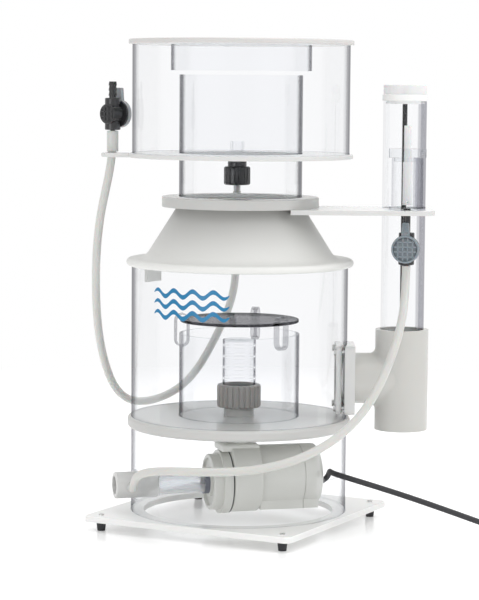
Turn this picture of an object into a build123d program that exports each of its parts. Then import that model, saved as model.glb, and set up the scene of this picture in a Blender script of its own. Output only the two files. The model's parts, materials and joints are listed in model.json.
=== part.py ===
from build123d import *
import os

# A free-standing protein skimmer: clear tubes glued between white plates on a square base, with a
# needle-wheel pump underneath, a collection cup on top and a level-regulating outlet at the side.
# Millimetres. The origin is on the body's axis at floor level, +Z up, and the front faces -Y.

# ---- driving dimensions -------------------------------------------------------------------------
TUBE_R = 150.0            # outside radius of the chamber, body and cup tubes
TUBE_WALL = 5.0
PLATE_R = 155.0           # round plates stand 5 mm proud of the tubes

FOOT_H = 13.5
BASE_SIDE = 316.0
BASE_T = 8.0
BASE_TURN = 17.4 - 45.0   # the square base is turned under the body
FOOT_CIRCLE_R = 197.0
CHAMBER_H = 117.0
MID_T = 14.5
BODY_H = 209.5
FLANGE_R = 157.5
FLANGE_T = 10.0
CONE_H = 71.6
CONE_TOP_R = 87.5
CONE_SLOPE = 0.63         # radius gained per millimetre of fall
COLLAR_R = 108.5
COLLAR_T = 14.0
NECK_R = 85.0
NECK_WALL = 6.0
CUP_FLOOR_RISE = 53.5     # gap between the collar and the cup floor
CUP_FLOOR_T = 6.0
CUP_H = 149.0
LID_T = 7.0
ARM_T = 6.5

PUMP_Z = 60.5             # height of the rotor's axis
PUMP_TURN = 195.0         # the intake points left and a little to the front
CASING_LIFT = 6.0         # volute and motor can are centred above the rotor's axis

OUTLET_Z = 206.5
RISER_X = 226.0
RISER_R = 30.0
RISER_WALL = 3.0
HOSE_R = 5.75
HOSE_BORE_R = 3.75
BARB_R = 3.2              # spigots inside the hoses
CABLE_R = 3.9
CABLE_Z = 52.0            # height of the cable at the motor's end

AIR_Y = -57.0             # silencer and air tap stand in front of the riser
AIR_X = 226.5
TAP_X = -177.0            # drain tap at the left of the cup
GAP = 0.1                 # assembly gap between parts that fit inside each other
RUN = 0.05                # running clearance of turning and screwed parts

# ---- heights, stacked from the floor ------------------------------------------------------------
BASE_TOP = FOOT_H + BASE_T
MID_BOTTOM = BASE_TOP + CHAMBER_H
MID_TOP = MID_BOTTOM + MID_T
FLANGE_BOTTOM = MID_TOP + BODY_H
FLANGE_TOP = FLANGE_BOTTOM + FLANGE_T
CONE_TOP = FLANGE_TOP + CONE_H
COLLAR_TOP = CONE_TOP + COLLAR_T
CUP_FLOOR_BOTTOM = COLLAR_TOP + CUP_FLOOR_RISE
CUP_FLOOR_TOP = CUP_FLOOR_BOTTOM + CUP_FLOOR_T
LID_BOTTOM = CUP_FLOOR_TOP + CUP_H
LID_TOP = LID_BOTTOM + LID_T
ARM_BOTTOM = CONE_TOP - ARM_T
SILENCER_TOP = CONE_TOP + 71.0

TUBE_BORE_R = TUBE_R - TUBE_WALL
PUMP = Pos(0, 0, PUMP_Z) * Rot(0, 0, PUMP_TURN)   # local +X runs along the intake
UP = (Align.CENTER, Align.CENTER, Align.MIN)


# ---- shared shapes ------------------------------------------------------------------------------
def rod(radius, low, high, x=0.0, y=0.0):
    """An upright cylinder between two heights."""
    return Pos(x, y, low) * Cylinder(radius, high - low, align=UP)


def ring(outer, inner, low, high, x=0.0, y=0.0):
    """An upright tube between two heights."""
    return rod(outer, low, high, x, y) - rod(inner, low, high, x, y)


def shaft(radius, start, end, lift=0.0):
    """A cylinder along local +X."""
    return Pos(start, 0, lift) * Rot(0, 90, 0) * Cylinder(radius, end - start, align=UP)


def cross(radius, start, end):
    """A cylinder along local +Y."""
    return Pos(0, start, 0) * Rot(-90, 0, 0) * Cylinder(radius, end - start, align=UP)


def rounded_plate(radius, low, high, edge):
    """A round plate with a rounded rim."""
    plate = rod(radius, low, high)
    return fillet(plate.edges().filter_by(GeomType.CIRCLE), edge)


def polar(shape, count, start=0.0):
    """The shape repeated round the Z axis."""
    return [Rot(0, 0, start + 360.0 * i / count) * shape for i in range(count)]


def pipe_along(path, outer, inner=0.0):
    """A round hose or cable swept along a smooth path."""
    outline = Circle(outer)
    if inner:
        outline -= Circle(inner)
    return sweep(Plane(origin=path @ 0, z_dir=path % 0) * outline, path=path)


def save(name, shape):
    export_step(shape, f"parts/{name}.step")


# ---- base and lower chamber ---------------------------------------------------------------------
def on_corners(shape):
    """The shape at the four foot positions, 20 mm in from the edges."""
    turned = Rot(0, 0, BASE_TURN + 45.0) * Pos(FOOT_CIRCLE_R, 0, 0) * shape
    return polar(turned, 4)


INTAKE_HOLE_R = 21.0      # in the chamber's wall, round the intake pipe
BASE_HOLE_R = 132.0       # the plate is a frame under the chamber's wall
SCREW_R = 2.0             # feet screws
WINDOW_TURN = -29.5       # hand window that the cable leaves by
WINDOW_Z = 101.0


def base_plate():
    square = Rot(0, 0, BASE_TURN) * RectangleRounded(BASE_SIDE, BASE_SIDE, 10.0)
    plate = Pos(0, 0, FOOT_H) * extrude(square, BASE_T)
    plate = chamfer(plate.edges().group_by(Axis.Z)[-1], 1.0)
    plate -= rod(BASE_HOLE_R, FOOT_H - 1, BASE_TOP + 1)
    for hole in on_corners(rod(SCREW_R + 0.2, FOOT_H - 1, BASE_TOP + 1)):
        plate -= hole
    return plate


def rubber_feet():
    foot = Cone(5.5, 7.0, FOOT_H, align=UP) - rod(SCREW_R + RUN, 5.0, FOOT_H + 1)
    return Compound(children=on_corners(foot))


def foot_screws():
    screw = rod(SCREW_R, 5.5, BASE_TOP) + rod(3.6, BASE_TOP, BASE_TOP + 1.6)
    screw -= Pos(0, 0, BASE_TOP + 1.2) * Box(5.4, 0.9, 1.6)
    return Compound(children=on_corners(screw))


def lower_chamber():
    tube = ring(TUBE_R, TUBE_BORE_R, BASE_TOP, MID_BOTTOM)
    tube -= PUMP * shaft(INTAKE_HOLE_R, 120.0, 170.0)
    window = extrude(RectangleRounded(50.0, 54.0, 12.0), 60.0)
    return tube - Rot(0, 0, WINDOW_TURN) * Pos(120.0, 0, WINDOW_Z) * Rot(0, 90, 0) * window


# ---- reaction body ------------------------------------------------------------------------------
SOCKET_R = 21.0           # union socket through the middle plate
OUTLET_BORE_R = 31.0
OUTLET_SCREW_R = 2.5
KEY_H = 29.0
KEY_TURN = 150.5


def mid_plate():
    plate = rounded_plate(PLATE_R, MID_BOTTOM, MID_TOP, 4.0)
    return plate - rod(SOCKET_R + GAP, MID_BOTTOM - 1, MID_TOP + 1)


def body_tube():
    tube = ring(TUBE_R, TUBE_BORE_R, MID_TOP, FLANGE_BOTTOM)
    tube -= Pos(0, 0, OUTLET_Z) * shaft(OUTLET_BORE_R, 120.0, 160.0)
    for hole in outlet_screw_shafts(OUTLET_SCREW_R + GAP, 120.0, 160.0):
        tube -= hole
    return tube


def reactor_cone():
    """The white cone and its flange, one moulding that flares into the rim."""
    foot_r = CONE_TOP_R + CONE_SLOPE * CONE_H
    wall = 6.0
    seat = 6.0
    throat_z = CONE_TOP - seat
    throat_r = CONE_TOP_R + CONE_SLOPE * seat - wall
    low_inner_z = FLANGE_TOP + 3.0
    low_inner_r = throat_r + CONE_SLOPE * (throat_z - low_inner_z)
    rim = (FLANGE_R, FLANGE_TOP)
    under_rim = (FLANGE_R, FLANGE_BOTTOM)
    flare = (foot_r, FLANGE_TOP)
    outline = Polyline(
        (140.0, FLANGE_BOTTOM),
        under_rim,
        rim,
        flare,
        (CONE_TOP_R, CONE_TOP),
        (NECK_R - NECK_WALL, CONE_TOP),
        (NECK_R - NECK_WALL, throat_z),
        (throat_r, throat_z),
        (low_inner_r, low_inner_z),
        close=True,
    )
    profile = make_face(outline)
    for corner, radius in ((rim, 4.9), (under_rim, 4.9), (flare, 20.0)):
        profile = fillet(profile.vertices().sort_by_distance((*corner, 0))[0], radius)
    return revolve(Plane.XZ * profile, Axis.Z)


def cone_key():
    """The small block under the flange that keys the cone to the body tube, inside the wall."""
    key = ring(TUBE_BORE_R - GAP, 140.5, FLANGE_BOTTOM - KEY_H, FLANGE_BOTTOM)
    sector = Pos(TUBE_R, 0, FLANGE_BOTTOM - KEY_H / 2) * Box(60.0, 38.0, KEY_H + 10.0)
    return key & (Rot(0, 0, KEY_TURN) * sector)


def neck_collar():
    collar = rod(COLLAR_R, CONE_TOP, COLLAR_TOP)
    collar = fillet(collar.edges().filter_by(GeomType.CIRCLE).group_by(Axis.Z)[-1], 1.2)
    collar -= rod(NECK_R + 0.3, CONE_TOP - 1, COLLAR_TOP + 1)
    return collar - rod(NECK_R + 3.3, CONE_TOP + 5.2, CONE_TOP + 8.8)


def collar_oring():
    return Pos(0, 0, CONE_TOP + 7.0) * Torus(NECK_R + 1.65, 1.6)


# ---- support arm, silencer ----------------------------------------------------------------------
def support_arm():
    """The plate glued under the collar that carries the riser and the air fittings."""
    outline = Polyline((68.0, -85.0), (264.0, -85.0), (264.0, 38.0), (68.0, 38.0), close=True)
    plate = Pos(0, 0, ARM_BOTTOM) * extrude(make_face(outline), ARM_T)
    corners = plate.edges().filter_by(Axis.Z).group_by(Axis.X)[-1]
    plate = fillet(corners, 22.0)
    plate -= rod(CONE_TOP_R + CONE_SLOPE * ARM_T + 0.5, ARM_BOTTOM - 1, CONE_TOP + 1)
    plate -= rod(RISER_R + 0.3, ARM_BOTTOM - 1, CONE_TOP + 1, RISER_X)
    return plate - rod(5.3, ARM_BOTTOM - 1, CONE_TOP + 1, AIR_X, AIR_Y)


def silencer_body():
    base_top = CONE_TOP + 4.5
    body = rod(25.0, CONE_TOP, base_top, AIR_X, AIR_Y)
    body += ring(21.5, 18.5, base_top, SILENCER_TOP, AIR_X, AIR_Y)
    body -= rod(5.1, CONE_TOP - 1, CONE_TOP + 2.5, AIR_X, AIR_Y)
    return body - rod(3.0, CONE_TOP, base_top + 1, AIR_X, AIR_Y)


def silencer_cap():
    cap = rod(25.3, SILENCER_TOP, SILENCER_TOP + 12.4, AIR_X, AIR_Y)
    cap = fillet(cap.edges().filter_by(GeomType.CIRCLE), 1.0)
    cap += rod(18.3, SILENCER_TOP - 5.0, SILENCER_TOP, AIR_X, AIR_Y)
    return cap - rod(5.2, SILENCER_TOP - 6, SILENCER_TOP + 13, AIR_X, AIR_Y)


def silencer_stem():
    low = CONE_TOP + 7.0
    stem = rod(5.1, SILENCER_TOP - 5.5, SILENCER_TOP + 43.5, AIR_X, AIR_Y)
    stem += rod(6.3, low, SILENCER_TOP - 5.5, AIR_X, AIR_Y)
    stem -= rod(3.6, low - 1, SILENCER_TOP + 44, AIR_X, AIR_Y)
    return stem - Pos(AIR_X, AIR_Y, low + 4.5) * cross(1.3, -8.0, 8.0)


# ---- taps ---------------------------------------------------------------------------------------
# A plug tap in its own frame: flow along Z, the handle on +Y.
BARREL_R = 14.0
PORT_COLLAR_R = 10.8
PORT_CORE_R = 5.0
PLUG_R = 8.0
PLUG_END = 11.0
HANDLE_R = 19.0
HANDLE_START = 11.6
HANDLE_END = 18.6
LEVER_TOP = 36.0          # the pointer lever's reach above the flow axis


def port(length, core, collar_top=22.0):
    """A hose port on +Z with its collar and small barbs."""
    body = rod(PORT_COLLAR_R, 10.0, collar_top)
    body = fillet(body.edges().filter_by(GeomType.CIRCLE).group_by(Axis.Z)[-1], 1.5)
    return body + rod(core, collar_top, length)


def barbs(first, count, core):
    """Conical hose barbs on a port, pointing up."""
    cones = [Pos(0, 0, first + 7.0 * i) * Cone(core + 0.85, core, 5.5, align=UP) for i in range(count)]
    return cones


def tap_body(up_length, down_length, up_barbs):
    body = cross(BARREL_R, -12.0, 8.0)
    body = fillet(body.edges().filter_by(GeomType.CIRCLE).group_by(Axis.Y)[0], 1.5)
    body += cross(HANDLE_R + 0.2, 8.0, PLUG_END)
    body += port(up_length, PORT_CORE_R)
    for cone in barbs(25.0, up_barbs, PORT_CORE_R):
        body += cone
    body += Rot(180, 0, 0) * port(down_length, BARB_R)
    body -= cross(PLUG_R + RUN, -9.0, PLUG_END + 1)
    return body - rod(2.4, -down_length - 1, up_length + 1)


def tap_plug():
    """The turning plug with its cross bore and the stem that the handle grips."""
    plug = cross(PLUG_R, -8.9, PLUG_END) + cross(3.55, PLUG_END, HANDLE_END - 1.6)
    return plug - rod(2.4, -PLUG_R - 1, PLUG_R + 1)


def tap_handle():
    """A round knob with a pointer lever that stands up when the tap is open."""
    knob = cross(HANDLE_R, HANDLE_START, HANDLE_END)
    knob = fillet(knob.edges().filter_by(GeomType.CIRCLE), 1.2)
    knob -= cross(16.5, HANDLE_END - 1.2, HANDLE_END + 1)
    lever = Polyline((-6.2, 12.0), (-4.4, LEVER_TOP), (4.4, LEVER_TOP), (6.2, 12.0), close=True)
    blade = Rot(90, 0, 0) * extrude(make_face(lever), 5.4)
    blade = fillet(blade.edges().filter_by(Axis.Y).group_by(Axis.Z)[-1], 2.0)
    knob += Pos(0, HANDLE_START + 5.4, 0) * blade
    return knob - cross(3.6, HANDLE_START - 1, HANDLE_END - 1.5)


DRAIN_TAP_Z = 570.7
AIR_TAP_Z = 391.5
DRAIN_TAP = Pos(TAP_X, 0, DRAIN_TAP_Z) * Rot(0, 0, -40.0)
AIR_TAP = Pos(AIR_X, AIR_Y, AIR_TAP_Z) * Rot(0, 0, 170.0)
TAP_DOWN = 34.0
AIR_TAP_UP = CONE_TOP + 2.3 - AIR_TAP_Z


# ---- hoses and cable ----------------------------------------------------------------------------
VENTURI_PORT_S = 158.0


def air_hose():
    """From the venturi's nipple, round the front of the body and up to the air tap."""
    nipple = PUMP * Pos(VENTURI_PORT_S, 22.5, 0)
    beyond = PUMP * Pos(VENTURI_PORT_S, 31.0, 0)
    path = Spline(
        nipple.position,
        beyond.position,
        (-137.0, -112.0, 83.0),
        (-100.0, -150.0, 98.0),
        (-37.0, -168.0, 100.5),
        (60.5, -170.0, 113.0),
        (156.7, -140.0, 167.5),
        (203.0, -105.0, 243.6),
        (221.5, -78.0, 305.0),
        (AIR_X - 0.3, AIR_Y - 1.4, AIR_TAP_Z - 39.5),
        (AIR_X, AIR_Y, AIR_TAP_Z - 30.0),
        (AIR_X, AIR_Y, AIR_TAP_Z - 23.0),
    )
    return pipe_along(path, HOSE_R, HOSE_BORE_R)


def drain_hose():
    """From the fitting behind the neck, down behind the body and up at the left to the drain tap."""
    path = Spline(
        (DRAIN_X, DRAIN_Y, NUT_LOW - 9.0),
        (DRAIN_X, DRAIN_Y + 1.0, NUT_LOW - 22.0),
        (-5.0, 140.0, 412.0),
        (-6.0, 166.0, 372.0),
        (-8.0, 175.0, 320.0),
        (-38.0, 176.0, 237.0),
        (-92.0, 170.0, 166.0),
        (-152.0, 145.0, 152.0),
        (-192.0, 90.0, 214.0),
        (-202.0, 40.0, 320.0),
        (-192.0, 6.0, 440.0),
        (TAP_X - 2.0, 0.0, CUP_FLOOR_BOTTOM - 4.5),
        (TAP_X, 0.0, DRAIN_TAP_Z - 36.0),
        (TAP_X, 0.0, DRAIN_TAP_Z - 23.0),
    )
    return pipe_along(path, HOSE_R, HOSE_BORE_R)


def hose_sleeve():
    return ring(8.0, HOSE_R + 1.0, CUP_FLOOR_TOP + 1.5, DRAIN_TAP_Z - 23.5, TAP_X)


def power_cable():
    """The cable with its strain relief, out through the chamber's window to the right."""
    path = Spline(
        (101.4, 27.2, CABLE_Z),
        (110.0, 29.5, CABLE_Z),
        (121.0, 26.5, 58.0),
        (127.0, 8.0, 70.0),
        (127.5, -32.0, 79.5),
        (130.5, -60.0, 82.0),
        (142.0, -81.0, 81.5),
        (164.0, -95.0, 77.0),
        (218.0, -106.0, 62.0),
        (322.0, -130.0, 30.0),
        (350.0, -136.0, 21.0),
    )
    relief = PUMP * Pos(-113.05, 0, CABLE_Z - PUMP_Z) * Rot(0, -90, 0) * Cone(7.5, 5.5, 6.0, align=UP)
    return pipe_along(path, CABLE_R) + relief


# ---- pump, in its own frame: the intake on +X ----------------------------------------------------
VOLUTE_R = 48.9
MOTOR_R = 43.5
CAP_R = 44.4
SEAM = 16.0
SPIGOT_R = 17.5
CAN_R = 15.5
SHAFT_R = 2.0
PIPE_R = 14.75
DELIVERY_R = 14.0         # bore that carries the pump's flow up into the body


def pump_volute():
    top = VOLUTE_R + CASING_LIFT
    casing = shaft(VOLUTE_R, -24.0, SEAM, CASING_LIFT)
    casing = fillet(casing.edges().filter_by(GeomType.CIRCLE), 2.0)
    block = Pos(2.5, 0, top - 5.0) * Box(53.0, 46.0, 10.0)
    block = fillet(block.edges().group_by(Axis.Z)[-1], 4.0)
    casing += block
    casing += rod(SPIGOT_R, top - 1.0, MID_TOP - 3.0 - PUMP_Z)
    casing += shaft(41.3, SEAM - 2.0, SEAM + 6.0)
    casing -= shaft(38.2, -12.0, SEAM + 7.0)
    casing -= rod(DELIVERY_R, 20.0, MID_TOP - PUMP_Z)
    return casing - shaft(CAN_R, -25.0, -11.0)


def pump_oring():
    return shaft(44.0, SEAM + 0.05, SEAM + 1.75) - shaft(41.5, SEAM, SEAM + 2.0)


def pump_front_cap():
    """The suction cover: a stepped disc with a recessed face and the pipe socket in its middle."""
    rear = SEAM + 1.8
    step = 30.0
    front = 44.0
    cap = shaft(CAP_R, rear, step) + shaft(39.0, step, front)
    cap = fillet(cap.edges().filter_by(GeomType.CIRCLE).group_by(Axis.X)[-1], 2.5)
    cap -= shaft(33.5, front - 4.0, front + 1) - shaft(20.0, front - 5.0, front + 2)
    cap -= shaft(41.5, rear - 1, SEAM + 6.2)
    cap -= shaft(34.0, rear - 1, SEAM + 9.0)
    cap -= shaft(PIPE_R + GAP, front - 8.0, front + 1)
    eye = shaft(12.0, 0.0, front)
    spider = shaft(8.0, SEAM + 9.0, SEAM + 13.0)
    for turn in range(3):
        arm = Rot(120.0 * turn, 0, 0) * Pos(SEAM + 11.0, 0, 8.0) * Box(4.0, 3.0, 10.0)
        spider += arm
    cap -= eye - spider
    return cap - shaft(SHAFT_R + RUN, SEAM, SEAM + 12.3)


def pump_motor_housing():
    can = shaft(MOTOR_R, -85.5, -24.0, CASING_LIFT)
    can += Pos(-54.75, 0, CASING_LIFT - 31.0) * Box(61.5, 62.0, 24.0)
    return can - shaft(CAN_R, -81.0, -23.0)


def pump_end_cap():
    cap = shaft(MOTOR_R, -113.0, -86.3, CASING_LIFT)
    cap = fillet(cap.edges().filter_by(GeomType.CIRCLE).group_by(Axis.X)[0], 7.0)
    cap += Pos(-97.0, 0, CASING_LIFT - 31.0) * Box(21.4, 62.0, 24.0)
    joint = shaft(MOTOR_R - 1.2, -86.3, -85.5, CASING_LIFT)
    cable_hole = shaft(CABLE_R + 1.2, -114.0, -96.0, CABLE_Z - PUMP_Z)
    return cap + joint - cable_hole


def impeller():
    """A needle wheel: a disc with rings of pins that chop the air fine."""
    wheel = shaft(31.0, -8.0, -5.0) + shaft(7.0, -8.0, 12.0)
    for count, radius in ((16, 27.5), (12, 21.5), (8, 15.5)):
        for turn in range(count):
            pin = Pos(0, 0, radius) * shaft(1.3, -5.0, 12.0)
            wheel += Rot(360.0 * turn / count, 0, 0) * pin
    return wheel - shaft(SHAFT_R + 0.02, -9.0, 13.0)


def rotor_magnet():
    return shaft(13.5, -72.0, -10.0) - shaft(SHAFT_R + 0.02, -73.0, -9.0)


def pump_shaft():
    return shaft(SHAFT_R, -79.5, SEAM + 12.0)


def shaft_bush():
    return shaft(CAN_R - RUN, -80.9, -75.0) - shaft(SHAFT_R + RUN, -79.8, -74.0)


def intake_pipe():
    return shaft(PIPE_R, 36.2, 128.8) - shaft(PIPE_R - 2.5, 36.0, 129.0)


def intake_seal():
    return shaft(16.3, 44.1, 51.0) - shaft(PIPE_R + GAP, 44.0, 52.0)


INLET_BORE_R = 13.0
INLET_DEPTH = 15.0
VENTURI_END = 177.0


def venturi_body():
    """The air injector on the intake: pipe socket, throat, open inlet and an air nipple."""
    body = shaft(18.3, 117.0, VENTURI_END)
    body = fillet(body.edges().filter_by(GeomType.CIRCLE), 2.0)
    body -= shaft(PIPE_R + GAP, 116.0, 129.0)
    body -= shaft(9.0, 128.0, VENTURI_END)
    body -= shaft(INLET_BORE_R, VENTURI_END - INLET_DEPTH, VENTURI_END + 1)
    nipple = Pos(VENTURI_PORT_S, 0, 0) * cross(BARB_R, 8.5, 31.0)
    nipple += Pos(VENTURI_PORT_S, 0, 0) * cross(6.5, 16.0, 21.2)
    nipple -= shaft(9.0, 128.0, VENTURI_END)
    body += nipple
    return body - Pos(VENTURI_PORT_S, 0, 0) * cross(1.8, 0.0, 35.0)


# ---- bubble diffuser inside the body -------------------------------------------------------------
UNION_R = 30.5
UNION_H = 31.7
NECK_GAP = 12.0           # visible socket neck between plate and nut
UNION_LOW = MID_TOP + NECK_GAP
THREAD_R = 25.0
BUBBLE_R = 23.0
BUBBLE_TOP = 259.5
CYLINDER_TOP = 268.0
CLIP_LOW = 251.0
CLIP_H = 46.5
CLIP_R = 82.0
CLIP_TURNS = (-46.0, 74.0, 194.0)
DISC_LOW = 284.5
DISC_T = 4.0
DISC_R = 82.5


def union_socket():
    socket = rod(SOCKET_R, MID_BOTTOM - 5.5, UNION_LOW + 4.0)
    socket += rod(27.0, MID_BOTTOM - 5.5, MID_BOTTOM)
    socket += rod(THREAD_R, UNION_LOW + 2.0, UNION_LOW + 25.4)
    socket -= rod(SPIGOT_R + GAP, MID_BOTTOM - 6, MID_TOP - 2.9)
    return socket - rod(DELIVERY_R, MID_BOTTOM, UNION_LOW + 26)


def bubble_pipe():
    """The riser from the pump: four bands of slots let the bubbles out sideways."""
    low = UNION_LOW + 25.45
    pipe = rod(BUBBLE_R, low, BUBBLE_TOP) + rod(THREAD_R - 0.2, low, low + 2.0)
    pipe -= rod(BUBBLE_R - 3.0, low - 1, BUBBLE_TOP - 2.5)
    slot = Box(60.0, 14.0, 3.6)
    for level in range(4):
        height = UNION_LOW + UNION_H + 8.0 + 15.5 * level
        for turn in range(3):
            pipe -= Pos(0, 0, height) * Rot(0, 0, 30.0 + 60.0 * turn) * slot
    return pipe


def ribbed(radius, low, high, ribs, depth):
    """A nut's outside with rounded grooves between its grip ribs."""
    nut = rod(radius, low, high)
    nut = fillet(nut.edges().filter_by(GeomType.CIRCLE), 3.0)
    for groove in polar(rod(depth, low - 1, high + 1, radius), ribs):
        nut -= groove
    return nut


def union_nut():
    top = UNION_LOW + UNION_H
    nut = ribbed(UNION_R, UNION_LOW, top, 24, 1.5)
    nut -= rod(THREAD_R + RUN, UNION_LOW + 1.9, UNION_LOW + 27.6)
    nut -= rod(SOCKET_R + 0.5, UNION_LOW - 1, UNION_LOW + 3.0)
    return nut - rod(BUBBLE_R + 0.2, UNION_LOW, top + 1)


def inner_cylinder():
    cylinder = ring(83.5, 78.5, MID_TOP, CYLINDER_TOP)
    for turn in CLIP_TURNS:
        notch = Pos(81.0, 0, CYLINDER_TOP) * Box(12.0, 10.0, 2 * (CYLINDER_TOP - CLIP_LOW + GAP))
        cylinder -= Rot(0, 0, turn) * notch
    return cylinder


def deflector_disc():
    disc = rod(DISC_R, DISC_LOW, DISC_LOW + DISC_T)
    disc = chamfer(disc.edges().filter_by(GeomType.CIRCLE), 0.5)
    for turn in CLIP_TURNS:
        disc -= Rot(0, 0, turn) * Pos(CLIP_R - 9.0, 0, DISC_LOW) * Box(3.2, 9.4, 20.0)
    return disc


def disc_clips():
    """Upright oval loops that hang the disc over the cylinder."""
    width = 20.0
    band = 2.4
    outer = SlotCenterToCenter(CLIP_H - width, width, rotation=90)
    inner = SlotCenterToCenter(CLIP_H - width, width - 2 * band, rotation=90)
    loop = extrude(Plane.XZ * (outer - inner), 4.5, both=True)
    placed = Pos(CLIP_R, 0, CLIP_LOW + CLIP_H / 2) * loop
    return Compound(children=[Rot(0, 0, turn) * placed for turn in CLIP_TURNS])


# ---- side outlet ---------------------------------------------------------------------------------
SADDLE_W = 72.0
SADDLE_H = 96.0
OUTER_FACE_X = 160.0
INNER_FACE_X = 134.0


def outlet_screw_shafts(radius, start, end):
    shafts = []
    for y in (-27.0, 27.0):
        for z in (-39.0, 39.0):
            shafts.append(Pos(0, y, OUTLET_Z + z) * shaft(radius, start, end))
    return shafts


def saddle(start, end, width, height):
    """A rounded block on the outlet's axis between two X stations."""
    block = Pos((start + end) / 2, 0, OUTLET_Z) * Box(end - start, width, height)
    block = fillet(block.edges().filter_by(Axis.X), 6.0)
    return block - Pos(0, 0, OUTLET_Z) * shaft(OUTLET_BORE_R, start - 1, end + 1)


def outlet_outer_plate():
    plate = saddle(138.0, OUTER_FACE_X, SADDLE_W, SADDLE_H)
    plate -= rod(TUBE_R, OUTLET_Z - 60, OUTLET_Z + 60)
    for hole in outlet_screw_shafts(OUTLET_SCREW_R + RUN, 130.0, 157.5):
        plate -= hole
    return plate


def outlet_inner_plate():
    plate = saddle(INNER_FACE_X, 150.0, SADDLE_W, SADDLE_H)
    plate &= rod(TUBE_BORE_R - 1.5, OUTLET_Z - 60, OUTLET_Z + 60)
    for hole in outlet_screw_shafts(OUTLET_SCREW_R + GAP, 130.0, 150.0):
        plate -= hole
    return plate


def outlet_gasket():
    sheet = saddle(INNER_FACE_X, 150.0, SADDLE_W - 4, SADDLE_H - 4)
    sheet &= ring(TUBE_BORE_R, TUBE_BORE_R - 1.5, OUTLET_Z - 60, OUTLET_Z + 60)
    for hole in outlet_screw_shafts(OUTLET_SCREW_R + GAP, 130.0, 150.0):
        sheet -= hole
    return sheet


def outlet_screws():
    shafts = outlet_screw_shafts(OUTLET_SCREW_R, INNER_FACE_X, 157.0)
    heads = outlet_screw_shafts(4.6, INNER_FACE_X - 3.4, INNER_FACE_X)
    hexes = outlet_screw_shafts(2.0, INNER_FACE_X - 3.5, INNER_FACE_X - 1.2)
    return Compound(children=[s + h - x for s, h, x in zip(shafts, heads, hexes)])


TEE_R = 36.75
TEE_BOTTOM = 135.5
TEE_TOP = 275.5
DRAIN_SOCKET_R = 31.5
DRAIN_SOCKET_L = 36.0
GATE_R = 26.9
RISER_BOTTOM = 246.0
RISER_TOP = 591.5


def outlet_tee():
    """Socket for the drain pipe below, the gate's bore in the middle and the riser's socket on top."""
    tee = rod(TEE_R, TEE_BOTTOM, TEE_TOP, RISER_X)
    tee += Pos(0, 0, OUTLET_Z) * shaft(35.2, OUTER_FACE_X, RISER_X)
    meeting = tee.edges().filter_by(GeomType.BSPLINE)
    tee = fillet(meeting, 8.0)
    hollow = rod(DRAIN_SOCKET_R, TEE_BOTTOM - 1, TEE_BOTTOM + DRAIN_SOCKET_L, RISER_X)
    hollow += rod(GATE_R + 0.15, TEE_BOTTOM + 5, TEE_TOP - 5, RISER_X)
    hollow += rod(RISER_R + GAP, RISER_BOTTOM, TEE_TOP + 1, RISER_X)
    hollow += Pos(0, 0, OUTLET_Z) * shaft(OUTLET_BORE_R, OUTER_FACE_X - 1, RISER_X - 5)
    return tee - hollow


def riser_tube():
    return ring(RISER_R, RISER_R - RISER_WALL, RISER_BOTTOM, RISER_TOP, RISER_X)


ROD_R = 3.75
CAP_TOP = RISER_TOP + 9.0


def riser_cap():
    cap = rod(31.6, RISER_TOP, CAP_TOP, RISER_X)
    cap = fillet(cap.edges().filter_by(GeomType.CIRCLE), 1.0)
    cap += rod(RISER_R - RISER_WALL - GAP, RISER_TOP - 4.0, RISER_TOP, RISER_X)
    return cap - rod(ROD_R + RUN, RISER_TOP - 5, CAP_TOP + 1, RISER_X)


def level_knob():
    low = CAP_TOP + GAP
    knob = rod(29.9, low, low + 13.0, RISER_X)
    knob -= rod(26.6, low + 3.6, low + 14.0, RISER_X)
    knob = fillet(knob.edges().filter_by(GeomType.CIRCLE).group_by(Axis.Z)[-1], 0.8)
    return knob - rod(ROD_R, low - 1, low + 5, RISER_X)


def level_rod():
    return rod(ROD_R, TEE_BOTTOM + 46.5, CAP_TOP + 9.0, RISER_X)


def level_gate():
    """The sleeve on the rod that covers more or less of the outlet's mouth."""
    low = TEE_BOTTOM + 42.5
    gate = ring(GATE_R, GATE_R - 3.0, low, low + 50.0, RISER_X)
    gate += rod(11.0, low + 18.0, low + 32.0, RISER_X)
    gate += Pos(RISER_X, 0, low + 25.0) * Box(50.0, 5.0, 14.0)
    gate += Pos(RISER_X, 0, low + 25.0) * Box(5.0, 50.0, 14.0)
    return gate - rod(ROD_R + RUN, low, low + 51.0, RISER_X)


# ---- collection cup ------------------------------------------------------------------------------
DRAIN_X = -5.0
DRAIN_Y = 118.0
STUB_R = 9.7
NUT_LOW = CUP_FLOOR_BOTTOM - 42.5
NIPPLE_END = NUT_LOW - 18.0
NECK_TOP = 625.5
LID_RING_R = 97.0         # outside radius of the ring that hangs over the neck
LID_RING_LOW = 631.5


def neck_tube():
    return ring(NECK_R, NECK_R - NECK_WALL, CONE_TOP + RUN, NECK_TOP)


def cup_floor():
    """The cup's floor with a tab at the left that holds the drain hose."""
    disc = rod(PLATE_R, CUP_FLOOR_BOTTOM, CUP_FLOOR_TOP)
    tab = Pos(-148.0, 0, CUP_FLOOR_BOTTOM) * extrude(RectangleRounded(88.0, 46.0, 12.0), CUP_FLOOR_T)
    plate = disc + tab
    plate = fillet(plate.edges().group_by(Axis.Z)[-1] + plate.edges().group_by(Axis.Z)[0], 1.2)
    plate -= rod(NECK_R + RUN, CUP_FLOOR_BOTTOM - 1, CUP_FLOOR_TOP + 1)
    plate -= rod(STUB_R + GAP, CUP_FLOOR_BOTTOM - 1, CUP_FLOOR_TOP + 1, DRAIN_X, DRAIN_Y)
    return plate - rod(8.5, CUP_FLOOR_BOTTOM - 1, CUP_FLOOR_TOP + 1, TAP_X - 1.5)


def cup_wall():
    return ring(TUBE_R, TUBE_BORE_R, CUP_FLOOR_TOP, LID_BOTTOM)


def cup_lid():
    return rounded_plate(PLATE_R, LID_BOTTOM, LID_TOP, 1.5)


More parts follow.
